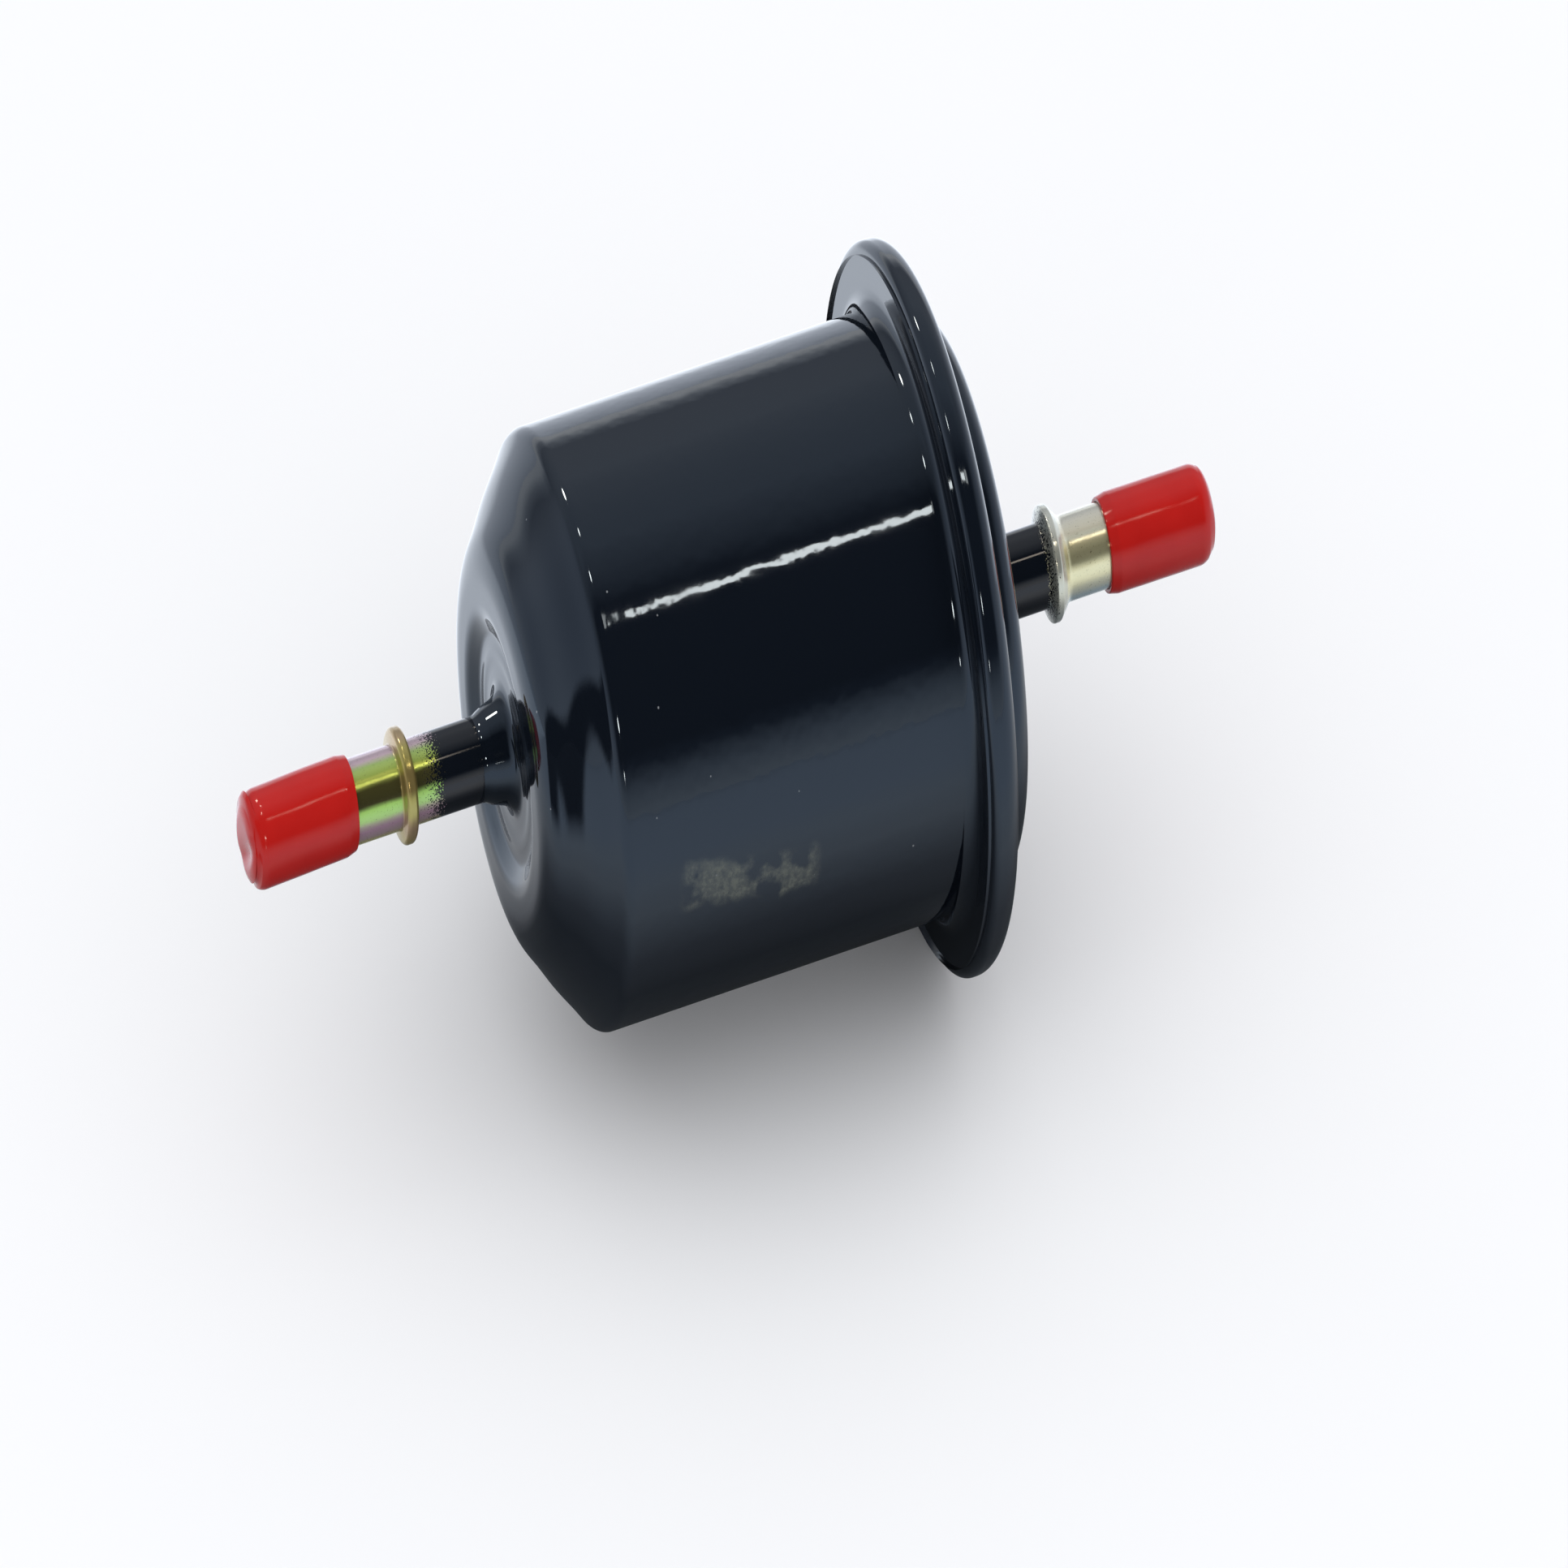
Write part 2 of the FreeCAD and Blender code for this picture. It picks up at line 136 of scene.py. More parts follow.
def lathe(name, points, closed=True, segments=SEGMENTS, warp=None):
    """Turns an outline about the axis. Points at r = 0 close the end. warp moves each vertex."""
    bm = bmesh.new()
    rings = []
    for x, r in points:
        if r < 1e-4:
            rings.append([bm.verts.new(around(x, 0, 0))])
        else:
            angles = (2 * math.pi * k / segments for k in range(segments))
            rings.append([bm.verts.new(around(x, r, a)) for a in angles])
    pairs = list(zip(rings, rings[1:]))
    if closed:
        pairs.append((rings[-1], rings[0]))
    for near, far in pairs:
        for k in range(segments):
            after = (k + 1) % segments
            if len(near) == 1:
                bm.faces.new((near[0], far[after], far[k]))
            elif len(far) == 1:
                bm.faces.new((near[k], near[after], far[0]))
            else:
                bm.faces.new((near[k], near[after], far[after], far[k]))
    if warp:
        for v in bm.verts:
            v.co = warp(v.co)
    bmesh.ops.recalc_face_normals(bm, faces=bm.faces)
    mesh = bpy.data.meshes.new(name)
    bm.to_mesh(mesh)
    bm.free()
    mesh.shade_smooth()
    mesh.set_sharp_from_angle(angle=math.radians(32))
    piece = bpy.data.objects.new(name, mesh)
    bpy.context.scene.collection.objects.link(piece)
    return piece


def place(piece, body, slot, material, *nodes):
    """Joins a piece to its body and its material, and hides the CAD nodes that it stands for."""
    piece.data.materials.append(material)
    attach(piece, body)
    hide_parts(*nodes)


# ---------------------------------------------------------------- materials
class Nodes:
    """A node tree under construction."""

    def __init__(self, tree):
        self.tree = tree

    def add(self, kind, settings=None, **inputs):
        """Adds a node. Underscores in input names stand for spaces."""
        node = self.tree.nodes.new("ShaderNode" + kind)
        for key, value in (settings or {}).items():
            setattr(node, key, value)
        self.fill(node, inputs)
        return node.outputs

    def fill(self, node, inputs):
        for key, value in inputs.items():
            name = key.replace("_", " ")
            socket = node.inputs[int(key[1:])] if key[1:].isdigit() else node.inputs[name]
            if isinstance(value, bpy.types.NodeSocket):
                self.tree.links.new(value, socket)
            else:
                socket.default_value = value

    def math(self, operation, a, b=0.0, c=0.0):
        return self.add("Math", {"operation": operation}, i0=a, i1=b, i2=c)[0]

    def span(self, value, low, high):
        """0 at low, 1 at high, straight between; low may be above high."""
        return self.add(
            "MapRange", {"clamp": True}, Value=value, From_Min=low, From_Max=high
        )[0]

    def smooth_span(self, value, low, high):
        settings = {"clamp": True, "interpolation_type": "SMOOTHSTEP"}
        return self.add("MapRange", settings, Value=value, From_Min=low, From_Max=high)[0]

    def mix(self, share, a, b):
        """Colour a where share is 0, colour b where it is 1."""
        made = self.add("Mix", {"data_type": "RGBA"}, i0=share, i6=a, i7=b)
        return made[2]

    def ramp(self, value, stops):
        """A colour ramp through (position, colour) stops."""
        node = self.tree.nodes.new("ShaderNodeValToRGB")
        elements = node.color_ramp.elements
        while len(elements) < len(stops):
            elements.new(0.5)
        for element, (position, colour) in zip(elements, stops):
            element.position = position
            element.color = (*colour, 1.0)
        self.tree.links.new(value, node.inputs[0])
        return node.outputs[0]


class Finish(Nodes):
    """A material under construction: its node tree, its main shader and its object coordinates."""

    def __init__(self, name, roughness, metallic=0.0):
        self.material = bpy.data.materials.new(name)
        self.material.use_nodes = True
        super().__init__(self.material.node_tree)
        self.shader = self.tree.nodes["Principled BSDF"]
        self.set(Roughness=roughness, Metallic=metallic)
        self.place = self.add("TexCoord")["Object"]
        split = self.add("SeparateXYZ", Vector=self.place)
        self.x, self.y, self.z = split["X"], split["Y"], split["Z"]

    def set(self, **inputs):
        self.fill(self.shader, inputs)

    def noise(self, size, detail=2.0, roughness=0.5, place=None):
        """Noise whose features are about size metres across."""
        made = self.add(
            "TexNoise",
            Vector=place or self.place,
            Scale=1.0 / size,
            Detail=detail,
            Roughness=roughness,
        )
        return made[0]

    def stretched(self, along, across):
        """Object coordinates scaled so that a pattern is longer along the axis than across it."""
        scale = (across / along, 1.0, 1.0)
        return self.add("Mapping", Vector=self.place, Scale=scale)[0]

    def bump(self, height, depth, under=None):
        """Adds a bump of a real depth in metres."""
        inputs = {"Height": height, "Distance": depth, "Strength": 1.0}
        if under is not None:
            inputs["Normal"] = under
        return self.add("Bump", **inputs)[0]

    def angle(self):
        """Angle about the axis in turns, 0 at the front and a quarter at the top."""
        back = self.math("MULTIPLY", self.y, -1.0)
        turned = self.math("ARCTAN2", self.z, back)
        return self.math("DIVIDE", turned, 2 * math.pi)


BLACK = (0.0045, 0.0065, 0.0105, 1.0)
DUST = (0.20, 0.21, 0.22, 1.0)
SCUFF = (0.105, 0.11, 0.085, 1.0)


def dust_specks(f, spacing, share):
    """Sparse tiny round specks."""
    cells = f.add("TexVoronoi", Vector=f.place, Scale=1.0 / spacing, Randomness=1.0)
    near = f.span(cells["Distance"], 0.075, 0.045)
    pick = f.add("SeparateColor", Color=cells["Color"])["Red"]
    return f.math("MULTIPLY", near, f.math("LESS_THAN", pick, share))


def enamel(name="black_enamel", scuffed=False):
    """Glossy baked enamel: ripples, orange peel, dust specks and, on the can, a dull scuff."""
    f = Finish(name, roughness=0.05)
    specks = dust_specks(f, 2.4 * MM, 0.05)
    colour = f.mix(specks, BLACK, DUST)
    rough = f.span(f.noise(9 * MM, 3), 0.3, 0.9)
    rough = f.math("MULTIPLY_ADD", rough, 0.05, 0.035)
    if scuffed:
        scuff = scuff_mask(f)
        colour = f.mix(scuff, colour, SCUFF)
        rough = f.math("MULTIPLY_ADD", scuff, 0.35, rough)
    # the drawn wall is rippled, the shoulder and the rim are smoother
    before_rim = f.smooth_span(f.x, 29 * MM, 25 * MM)
    wall = f.math("MULTIPLY", f.smooth_span(f.x, -31 * MM, -27 * MM), before_rim)
    swell = f.math("MULTIPLY", f.noise(2.6 * MM, 1), f.math("MULTIPLY_ADD", wall, 0.96, 0.04))
    ripple = f.bump(swell, 0.034 * MM)
    peel = f.bump(f.noise(1.1 * MM, 2), 0.0025 * MM, ripple)
    f.set(Base_Color=colour, Roughness=rough, Normal=peel, IOR=1.52)
    f.set(Specular_Tint=(0.66, 0.82, 1.0, 1.0), Specular_IOR_Level=0.62)
    return f.material


def scuff_mask(f):
    """A broken streak of dulled enamel low on the front of the can."""
    along = f.math(
        "MULTIPLY",
        f.smooth_span(f.x, -21 * MM, -18 * MM),
        f.smooth_span(f.x, 4 * MM, 1 * MM),
    )
    # the streak sinks slowly towards the cover
    level = f.math("MULTIPLY_ADD", f.x, 0.626, f.angle())
    wander = f.math("MULTIPLY_ADD", f.noise(5 * MM, 2), 0.016, f.math("SUBTRACT", level, 0.008))
    across = f.math(
        "MULTIPLY",
        f.smooth_span(wander, -0.025, -0.016),
        f.smooth_span(wander, 0.010, 0.000),
    )
    patches = f.smooth_span(f.noise(4.5 * MM, 3), 0.38, 0.52)
    grain = f.span(f.noise(0.9 * MM, 4, 0.7), 0.22, 0.68)
    region = f.math("MULTIPLY", along, across)
    return f.math("MULTIPLY", region, f.math("MULTIPLY", patches, grain))


def plated_pipe(name, bands_and_reflections, bead_x, bead_colour, enamel_x, spray_x):
    """Passivated zinc with coloured stripes round it, among them a painted dark reflection and a painted
    highlight line, its bead of one colour, enamelled towards the can.
    """
    f = Finish(name, roughness=0.25)
    streaks = f.noise(3 * MM, 3, place=f.stretched(5.0, 1.0))
    turn = f.math("ADD", f.angle(), f.math("MULTIPLY_ADD", streaks, 0.05, -0.025))
    turn = f.math("FRACT", f.math("ADD", turn, 1.0))
    # painted reflection and painted highlight: the colours round the pipe hold a dark stripe facing the
    # camera and a bright line above it
    plating_and_reflections = f.ramp(turn, bands_and_reflections)
    grain = f.noise(0.28 * MM, 3, 0.7)
    plating_and_reflections = f.mix(f.span(grain, 0.60, 0.78), plating_and_reflections, (0.14, 0.12, 0.05, 1))
    from_bead = f.math("ABSOLUTE", f.math("SUBTRACT", f.x, bead_x))
    on_bead = f.span(from_bead, 1.5 * MM, 1.1 * MM)
    plating_and_reflections = f.mix(f.math("MULTIPLY", on_bead, 0.8), plating_and_reflections, bead_colour)
    # enamel: solid beyond enamel_x, broken into specks as far as spray_x
    solid = f.span(f.x, spray_x, enamel_x)
    mottle = f.noise(0.24 * MM, 2, 0.6)
    level = f.math("MULTIPLY", f.math("POWER", solid, 1.5), 0.42)
    black = f.span(f.math("SUBTRACT", f.math("ADD", mottle, level), 0.72), 0.0, 0.03)
    fully = f.span(f.x, enamel_x + math.copysign(0.6 * MM, enamel_x), enamel_x)
    black = f.math("MAXIMUM", black, fully)
    colour = f.mix(black, plating_and_reflections, BLACK)
    metal = f.math("MULTIPLY_ADD", black, -0.62, 0.62)
    rough = f.math("MULTIPLY_ADD", grain, 0.3, 0.1)
    rough = f.math("MULTIPLY", rough, f.math("MULTIPLY_ADD", metal, 0.75, 0.25))
    pits = f.bump(f.math("MULTIPLY", grain, metal), 0.012 * MM)
    f.set(Base_Color=colour, Metallic=metal, Roughness=rough, Normal=pits)
    return f.material


def vinyl():
    """Soft dipped vinyl: deep red, faintly uneven, with a wet gloss."""
    f = Finish("red_vinyl", roughness=0.12)
    shade = f.noise(6 * MM, 2)
    colour = f.mix(shade, (0.42, 0.008, 0.006, 1), (0.51, 0.012, 0.009, 1))
    skin = f.bump(f.noise(2.2 * MM, 1), 0.008 * MM)
    f.set(Base_Color=colour, Normal=skin, IOR=1.45, Specular_IOR_Level=0.42)
    return f.material


def sheet_steel(name, colour, roughness):
    """Drawn sheet: fine rolling lines and slight staining."""
    f = Finish(name, roughness=roughness, metallic=1.0)
    lines = f.noise(0.25 * MM, 3, 0.6, f.stretched(20.0, 1.0))
    stain = f.noise(7 * MM, 3)
    dark = tuple(c * 0.72 for c in colour)
    tint = f.mix(f.span(stain, 0.35, 0.75), (*colour, 1), (*dark, 1))
    rough = f.math("MULTIPLY_ADD", lines, 0.18, roughness - 0.08)
    f.set(Base_Color=tint, Roughness=rough, Normal=f.bump(lines, 0.004 * MM))
    return f.material


def filter_paper():
    """Resin-cured cellulose: matted fibres and slightly darker clouds at random."""
    f = Finish("filter_paper", roughness=0.85)
    fibres = f.noise(0.22 * MM, 5, 0.75, f.stretched(3.0, 1.0))
    cloud = f.noise(4 * MM, 3)
    colour = f.mix(f.span(fibres, 0.3, 0.7), (0.50, 0.36, 0.16, 1), (0.72, 0.57, 0.32, 1))
    colour = f.mix(f.math("MULTIPLY", cloud, 0.35), colour, (0.40, 0.27, 0.11, 1))
    f.set(Base_Color=colour, Normal=f.bump(fibres, 0.03 * MM))
    return f.material


def moulded(name, light, dark, roughness, size):
    """A cast or cured compound: mottled, with small pores."""
    f = Finish(name, roughness=roughness)
    mottle = f.noise(size, 4, 0.6)
    pores = f.span(f.noise(size * 0.3, 2), 0.68, 0.75)
    colour = f.mix(mottle, (*light, 1), (*dark, 1))
    height = f.math("SUBTRACT", mottle, pores)
    rough = f.math("MULTIPLY_ADD", mottle, 0.2, roughness - 0.1)
    f.set(Base_Color=colour, Roughness=rough, Normal=f.bump(height, 0.02 * MM))
    return f.material


GOLD = (0.42, 0.31, 0.11, 1.0)
SILVER = (0.62, 0.64, 0.58, 1.0)
# Plating colours round a pipe, with painted light: the dark stripe near 0.11 turns, where the pipe faces
# the camera, is a painted reflection of a dark room, and the bright stripe at 0.167 turns is a painted
# highlight. (turns above the front, colour)
YELLOW_BANDS_AND_REFLECTIONS = [
    (0.000, (0.55, 0.50, 0.40)),
    (0.020, (0.40, 0.62, 0.22)),
    (0.065, (0.36, 0.62, 0.14)),
    (0.085, (0.09, 0.085, 0.03)),
    (0.135, (0.11, 0.10, 0.03)),
    (0.155, (0.50, 0.60, 0.12)),
    (0.167, (0.72, 0.80, 0.16)),
    (0.180, (0.45, 0.58, 0.12)),
    (0.225, (0.40, 0.56, 0.18)),
    (0.260, (0.66, 0.50, 0.56)),
    (0.330, (0.60, 0.50, 0.56)),
    (0.500, (0.56, 0.50, 0.30)),
    (0.800, (0.46, 0.50, 0.24)),
    (0.900, (0.66, 0.62, 0.22)),
    (0.940, (0.62, 0.46, 0.50)),
    (0.975, (0.66, 0.42, 0.56)),
    (1.000, (0.55, 0.50, 0.40)),
]
PALE_BANDS_AND_REFLECTIONS = [
    (0.000, (0.85, 0.83, 0.56)),
    (0.050, (0.85, 0.81, 0.51)),
    (0.085, (0.51, 0.49, 0.29)),
    (0.118, (0.49, 0.46, 0.27)),
    (0.145, (0.73, 0.67, 0.40)),
    (0.167, (0.93, 0.93, 0.73)),
    (0.190, (0.76, 0.71, 0.54)),
    (0.280, (0.73, 0.72, 0.63)),
    (0.500, (0.73, 0.71, 0.56)),
    (0.800, (0.76, 0.78, 0.68)),
    (0.930, (0.68, 0.85, 0.90)),
    (0.970, (0.83, 0.85, 0.68)),
    (1.000, (0.85, 0.83, 0.56)),
]


# ---------------------------------------------------------------- the casing
def sheet_waves(depth, size):
    """A slow unevenness of pressed sheet, as a warp for lathe()."""

    def warp(place):
        radial = Vector((0, place.y, place.z))
        if radial.length < 1e-6:
            return place
        sway = noise.noise(place / (size * MM) + Vector((3.1, 7.7, 1.9)))
        return place + radial.normalized() * (sway * depth * MM)

    return warp


def collar_corners(end, foot):
    """Corners of a collar that flares from the braze to the face it stands on."""
    return [(end, BRAZE_TOP, 0), (foot, 6.25, 2.4)]


def share_of_band(place, inner, outer):
    """How far out a place lies between two radii in millimetres, from 0 to 1 inside the band."""
    return (math.hypot(place.y, place.z) / MM - inner) / (outer - inner)


def cone_barrel(place):
    """Bulges the conical shoulder slightly, as drawing leaves it."""
    share = share_of_band(place, 24.4, 31.6)
    if not 0 < share < 1:
        return place
    swell = 0.16 * MM * math.sin(math.pi * share) ** 2
    radial = Vector((0, place.y, place.z)).normalized()
    return place + (radial * 0.67 - Vector((0.74, 0, 0))) * swell


def dish_rings(place):
    """Faint rings the drawing tool leaves in the dished end."""
    radius = math.hypot(place.y, place.z) / MM
    share = share_of_band(place, 7.5, 14.0)
    if not 0 < share < 1:
        return place
    ripple = 0.05 * MM * math.sin(math.pi * share) * math.sin(2 * math.pi * radius / 2.8)
    return place + Vector((ripple, 0, 0))


def can_warp(place):
    """Waves on the straight wall, a smooth bulge on the shoulder, rings in the dished end."""
    wall_start, run_in = -28, 4
    if place.x < wall_start * MM:
        return dish_rings(cone_barrel(place))
    waves = sheet_waves(0.012, 9)(place)
    return place.lerp(waves, min(1.0, (place.x / MM - wall_start) / run_in))


def make_can():
    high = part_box("can")[1]
    rim_back, rim_radius = high.x / MM, high.z / MM
    flange_front = rim_back - 2 * CAN_SHEET - COVER_SHEET - SEALANT
    shoulder_start = CREST + 10.45
    dish_floor = CREST + 1.4
    collar_end = dish_floor - COLLAR_HEIGHT
    corners = collar_corners(collar_end, dish_floor) + [
        (dish_floor, 12.7, 1.5),
        (CREST, 15.3, 4.0),
        (CREST, 21.37, 8.0),
        (shoulder_start, BODY_RADIUS, 2.6),
        (flange_front, BODY_RADIUS, 2.45),
        (flange_front, rim_radius, 1.4),
        (rim_back, rim_radius, 2.9),
        (rim_back, rim_radius - 4.2, 0),
    ]
    bent = [(collar_end, 6.1, 0), (dish_floor, 6.1, 2.2)] + corners[2:]
    inside = offset(bent, -CAN_SHEET)
    points = rounded(corners, 0.7) + rounded(inside)[::-1]
    piece = lathe("can_shell", points, warp=can_warp)
    place(piece, "housing", "black_enamel", enamel("can_enamel", scuffed=True), "can")


def make_cover():
    low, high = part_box("cover")
    flange_front, collar_end = low.x / MM, high.x / MM
    plateau = collar_end - COLLAR_HEIGHT
    flange_back = flange_front + COVER_SHEET
    corners = collar_corners(collar_end, plateau) + [
        (plateau, 31.0, 3.4),
        (flange_back, 32.2, 1.5),
        (flange_back, high.z / MM, 0),
    ]
    bent = [(collar_end, 6.3, 0), (plateau, 6.3, 2.2)] + corners[2:]
    inside = offset(bent, COVER_SHEET)
    points = rounded(corners) + rounded(inside)[::-1]
    piece = lathe("cover_shell", points, warp=sheet_waves(0.006, 7))
    place(piece, "housing", "black_enamel", enamel(), "cover")


def make_braze(node, outward):
    """Enamelled fillet that runs from the collar's end onto the pipe."""
    low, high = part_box(node)
    toe = (low.x if outward < 0 else high.x) / MM
    root = toe - outward * 1.8
    hollow = (root + outward * 1.2, PIPE_RADIUS + 0.05, 2.5)
    outer = [(root, BRAZE_TOP, 0), hollow, (toe, PIPE_RADIUS, 0)]
    points = rounded(outer, 0.3) + rounded([(toe, PIPE_RADIUS, 0), (root, PIPE_RADIUS, 0)])[1:]
    piece = lathe(node.replace("ring", "fillet"), points)
    place(piece, "housing", "braze", enamel(node + "_enamel"), node)


def pipe_outline(inner_end, tip, bead):
    """Outline of a pipe from its inner end to its chamfered tip and back through the bore."""
    outward = math.copysign(1, tip)
    if outward < 0:
        bead = bead[::-1]
    outer = [(inner_end, PIPE_BORE, 0), (inner_end, PIPE_RADIUS, 0.15)] + bead
    outer += [(tip - outward * 1.2, PIPE_RADIUS, 0.5), (tip, 4.15, 0.12), (tip, PIPE_BORE, 0)]
    return rounded(outer, 1.0) + rounded([(tip, PIPE_BORE, 0), (inner_end, PIPE_BORE, 0)], 2.0)[1:-1]


def make_pipes():
    low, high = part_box("inlet_pipe")
    tip = low.x / MM
    middle = tip + 24.8
    bead = [
        (middle - 1.15, PIPE_RADIUS, 0.25),
        (middle - 0.85, BEAD_RADIUS, 0.7),
        (middle + 0.85, BEAD_RADIUS, 0.7),
        (middle + 1.15, PIPE_RADIUS, 0.25),
    ]
    piece = lathe("inlet_pipe_tube", pipe_outline(high.x / MM, tip, bead))
    finish = plated_pipe("yellow_zinc", YELLOW_BANDS_AND_REFLECTIONS, middle * MM, GOLD, -49.8 * MM, -56.0 * MM)
    place(piece, "housing", "yellow_zinc", finish, "inlet_pipe")

    low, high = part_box("outlet_pipe")
    tip = high.x / MM
    middle = tip - 25.0
    bead = [
        (middle - 1.3, PIPE_RADIUS, 0.4),
        (middle - 0.6, BEAD_RADIUS, 0.45),
        (middle + 0.4, BEAD_RADIUS, 0.5),
        (middle + 2.2, PIPE_RADIUS, 1.2),
    ]
    piece = lathe("outlet_pipe_tube", pipe_outline(low.x / MM, tip, bead))
    finish = plated_pipe("pale_zinc", PALE_BANDS_AND_REFLECTIONS, middle * MM, SILVER, 52.3 * MM, 54.8 * MM)
    place(piece, "housing", "pale_zinc", finish, "outlet_pipe")


def make_cap(node, body, sag, dent, finish):
    """Dust cap: a soft skin that sags to one side, with a dimpled closed end and a straight bore."""
    low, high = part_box(node)
    outward = 1 if high.x > 0 else -1
    end = (high.x if outward > 0 else low.x) / MM
    mouth = (low.x if outward > 0 else high.x) / MM
    clearance, wall, end_wall = 0.05, 0.8, 1.3
    bore = PIPE_RADIUS + clearance
    outer = bore + wall
    inside = end - outward * end_wall
    corners = [
        (inside, 0, 0),
        (inside, bore, 0.8),
        (mouth, bore, 0.15),
        (mouth, bore + 0.5, 0.2),
        (mouth + outward * 1.6, outer, 2.0),
        (end, outer, 2.8),
        (end, 0, 0),
    ]
    down = Vector((0, -0.653, -0.757))

    def soften(place):
        """Sinks the end, sways the skin and lets it sag; the bore stays true."""
        x = place.x / MM
        radius = math.hypot(place.y, place.z) / MM
        share = (x - mouth) / (end - mouth)
        outside = radius > bore + 0.3 or abs(x - end) < 0.6
        if not outside:
            return place
        moved = place.copy()
        sway = noise.noise(place / (5 * MM) + Vector((outward * 4.0, 0.5, 2.2))) * 0.05
        if radius > 1e-3:
            moved.y *= 1 + sway / max(radius, 2.0)
            moved.z *= 1 + sway / max(radius, 2.0)
        moved += down * (sag * share * MM)
        if share > 0.9:
            low_side = place.dot(down) / MM
            dimple = math.exp(-(((low_side - 1.2) / 1.3) ** 2) - (radius / 4.0) ** 2)
            slant = max(0.0, low_side / outer) * 0.35
            moved.x -= outward * (dent * (dimple + slant)) * (share - 0.9) / 0.1 * MM
        if share < 0.2:
            moved.x += outward * 0.25 * (place.dot(down) / MM / outer) * (0.2 - share) / 0.2 * MM * sag
        return moved

    name = node.replace("dust_cap", "cap_skin")
    piece = lathe(name, rounded(corners, 0.5), closed=False, segments=160, warp=soften)
    place(piece, body, "red_vinyl", finish, node)


def finish_hidden_nodes():
    """Materials for the pieces inside, which keep their CAD shapes."""
    bare = sheet_steel("bare_steel", (0.60, 0.60, 0.60), 0.32)
    spring = sheet_steel("spring_steel", (0.30, 0.30, 0.32), 0.28)
    adhesive = moulded("adhesive", (0.42, 0.33, 0.16), (0.60, 0.50, 0.28), 0.5, 2.5 * MM)
    rubber = moulded("black_rubber", (0.016, 0.016, 0.017), (0.03, 0.03, 0.03), 0.55, 1.0 * MM)
    finishes = {
        "seam_sealant": moulded("sealant", (0.10, 0.10, 0.11), (0.16, 0.16, 0.17), 0.6, 0.8 * MM),
        "pleated_paper": filter_paper(),
        "pleat_seam_clip": bare,
        "centre_tube": bare,
        "closed_end_plate": bare,
        "open_end_plate": bare,
        "inlet_baffle": bare,
        "closed_end_potting": adhesive,
        "open_end_potting": adhesive,
        "outlet_grommet": rubber,
        "element_spring": spring,
        "centring_ring": spring,
    }
    for node, material in finishes.items():
        slots = NODES[node].data.materials
        slots.clear()
        slots.append(material)


# ---------------------------------------------------------------- floor, light and camera
def floor_material():
    """White card for the camera. Soft light bounces off it weakly: bounced light finds it painted grey,
    a painted shade on the parts from below. Reflections find a painted shadow near the filter, a painted
    dark track to the left and a strip painted to emit light.
    """
    f = Finish("floor_white_painted_shade", roughness=0.9)
    white = f.mix(f.noise(120 * MM, 2), (0.88, 0.885, 0.90, 1), (0.90, 0.905, 0.92, 1))
    # painted shadow: for reflections the floor darkens towards the filter, as if shaded by it
    beyond = f.math("MAXIMUM", f.math("SUBTRACT", f.math("ABSOLUTE", f.x), 38 * MM), 0.0)
    across = f.math("MAXIMUM", f.math("MULTIPLY", f.y, -1.0), f.math("MULTIPLY", f.y, 2.6))
    squares = f.math("ADD", f.math("POWER", beyond, 2.0), f.math("POWER", across, 2.0))
    distance = f.math("SQRT", squares)
    stops = [
        (0.00, (0.10, 0.11, 0.12)),
        (0.20, (0.11, 0.12, 0.13)),
        (0.30, (0.24, 0.25, 0.27)),
        (0.39, (0.46, 0.48, 0.51)),
        (0.50, (0.72, 0.74, 0.77)),
        (0.70, (0.84, 0.88, 0.93)),
        (1.00, (0.82, 0.88, 0.98)),
    ]
    painted_shadow_pool = f.ramp(f.math("DIVIDE", distance, 150 * MM), stops)
    # a painted dark track running off to the left, seen only in reflections, which the conical shoulder
    # mirrors as a painted reflection
    aside = f.math("MULTIPLY_ADD", f.x, -0.122, f.math("ADD", f.y, 18 * MM))
    aside = f.math("ABSOLUTE", f.math("DIVIDE", aside, f.math("MULTIPLY", f.x, -0.11)))
    painted_dark_lane = f.math("MULTIPLY", f.smooth_span(aside, 1.25, 0.75), f.smooth_span(f.x, -0.12, -0.20))
    painted_shadow_pool = f.mix(painted_dark_lane, painted_shadow_pool, (0.02, 0.022, 0.026, 1))
    ray = f.add("LightPath")
    # painted shade: bounced light finds the floor grey, which darkens the parts from below
    colour = f.mix(ray["Is Diffuse Ray"], white, (0.45, 0.45, 0.46, 1))
    colour = f.mix(ray["Is Glossy Ray"], colour, painted_shadow_pool)
    # a strip of floor painted to emit light, seen only in reflections, which the rim's front face
    # mirrors as a painted highlight
    far_edge = f.smooth_span(f.y, 230 * MM, 150 * MM)
    strip = f.math("MULTIPLY", f.smooth_span(f.y, 35 * MM, 65 * MM), far_edge)
    painted_glow = f.math("MULTIPLY", f.math("MULTIPLY", strip, ray["Is Glossy Ray"]), 0.55)
    f.set(Base_Color=colour, Specular_IOR_Level=0.1)
    f.set(Emission_Color=(0.90, 0.95, 1.0, 1.0), Emission_Strength=painted_glow)
    return f.material


def make_floor():
    size = 6.0
    mesh = bpy.data.meshes.new("floor")
    level = cad_low.z - 0.05 * MM
    corners = [(-size, -size, level), (size, -size, level), (size, size, level), (-size, size, level)]
    mesh.from_pydata(corners, [], [(0, 1, 2, 3)])
    floor = bpy.data.objects.new("floor", mesh)
    bpy.context.scene.collection.objects.link(floor)
    mesh.materials.append(floor_material())


